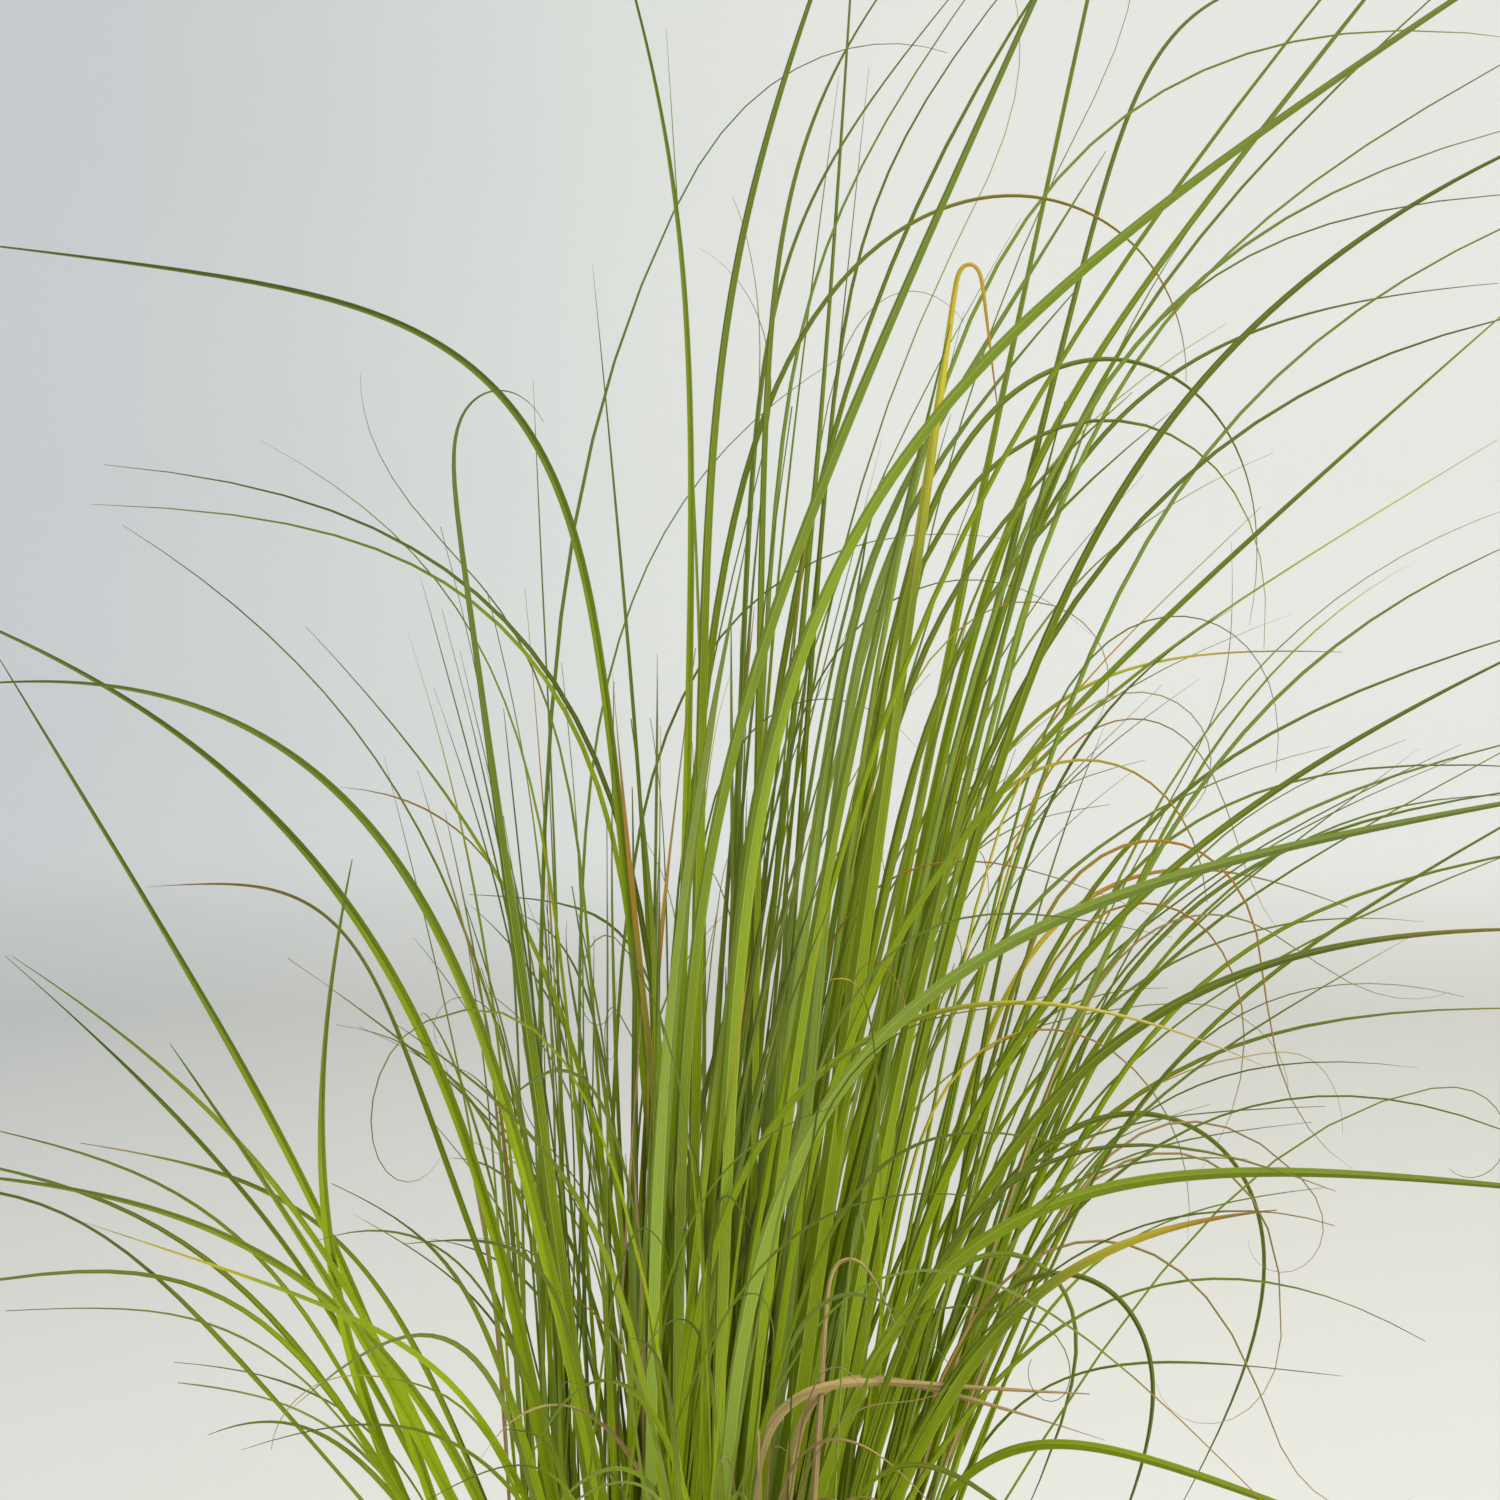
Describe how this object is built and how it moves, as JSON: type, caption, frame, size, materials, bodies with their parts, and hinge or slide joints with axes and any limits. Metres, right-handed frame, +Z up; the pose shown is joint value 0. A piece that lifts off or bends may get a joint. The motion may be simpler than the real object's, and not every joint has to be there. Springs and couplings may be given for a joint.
{
  "type": "potted ornamental grass",
  "caption": "Fine-leaved ornamental grass clump in a plain round clay pot: upright and arching narrow leaves, tufts of finer leaves between them and a few dry tips, leaning a little to one side.",
  "frame": {"origin": "centre of the pot's flat underside", "axes": "+Z up, +X towards the side the clump leans to, -Y towards the side it is looked at from"},
  "size_m": [0.6391, 0.6948, 0.8487],
  "materials": {
    "clay": "matte",
    "soil": "loose, matte",
    "sheath_base": "fibrous, matte",
    "leaf_green": "satin",
    "leaf_deep_green": "satin",
    "leaf_yellow_green": "satin",
    "leaf_pale_green": "satin",
    "fine_leaf_green": "satin",
    "dry_leaf": "matte"
  },
  "bodies": {
    "root": {"pot": "clay", "soil": "soil", "crown": "sheath_base", "leaf_left_01": "leaf_green", "leaf_left_02": "leaf_green", "leaf_left_03": "leaf_green", "leaf_left_04": "leaf_green", "leaf_left_05": "leaf_green", "leaf_left_06": "leaf_green", "leaf_left_07": "leaf_green", "leaf_left_08": "leaf_green", "leaf_left_09": "leaf_green", "leaf_left_10": "leaf_green", "leaf_left_11": "leaf_green", "leaf_upright_01": "leaf_deep_green", "leaf_upright_02": "leaf_deep_green", "leaf_upright_03": "leaf_deep_green", "leaf_upright_04": "leaf_deep_green", "leaf_upright_05": "leaf_deep_green", "leaf_upright_06": "leaf_deep_green", "leaf_upright_07": "leaf_deep_green", "leaf_upright_08": "leaf_deep_green", "leaf_upright_09": "leaf_deep_green", "leaf_upright_10": "leaf_deep_green", "leaf_upright_11": "leaf_deep_green", "leaf_right_01": "leaf_yellow_green", "leaf_right_02": "leaf_yellow_green", "leaf_right_03": "leaf_yellow_green", "leaf_right_04": "leaf_yellow_green", "leaf_right_05": "leaf_yellow_green", "leaf_right_06": "leaf_yellow_green", "leaf_right_07": "leaf_yellow_green", "leaf_right_08": "leaf_yellow_green", "leaf_right_09": "leaf_yellow_green", "leaf_right_10": "leaf_yellow_green", "leaf_right_11": "leaf_yellow_green", "leaf_right_12": "leaf_yellow_green", "leaf_right_13": "leaf_yellow_green", "leaf_right_14": "leaf_yellow_green", "leaf_right_15": "leaf_yellow_green", "leaf_middle_01": "leaf_pale_green", "leaf_middle_02": "leaf_pale_green", "leaf_middle_03": "leaf_pale_green", "tuft_left_high": "fine_leaf_green", "tuft_left_inner": "fine_leaf_green", "tuft_left_thin": "fine_leaf_green", "tuft_left_low": "fine_leaf_green", "tuft_top": "fine_leaf_green", "tuft_right_high": "fine_leaf_green", "tuft_right_middle": "fine_leaf_green", "tuft_right_low": "fine_leaf_green", "tuft_back": "fine_leaf_green", "tuft_back_left": "fine_leaf_green", "tuft_back_right": "fine_leaf_green", "tuft_front": "fine_leaf_green", "tuft_front_left": "fine_leaf_green", "tuft_front_right": "fine_leaf_green", "tuft_heart_left": "fine_leaf_green", "tuft_heart_right": "fine_leaf_green", "tuft_dry": "dry_leaf"}
  },
  "joints": []
}
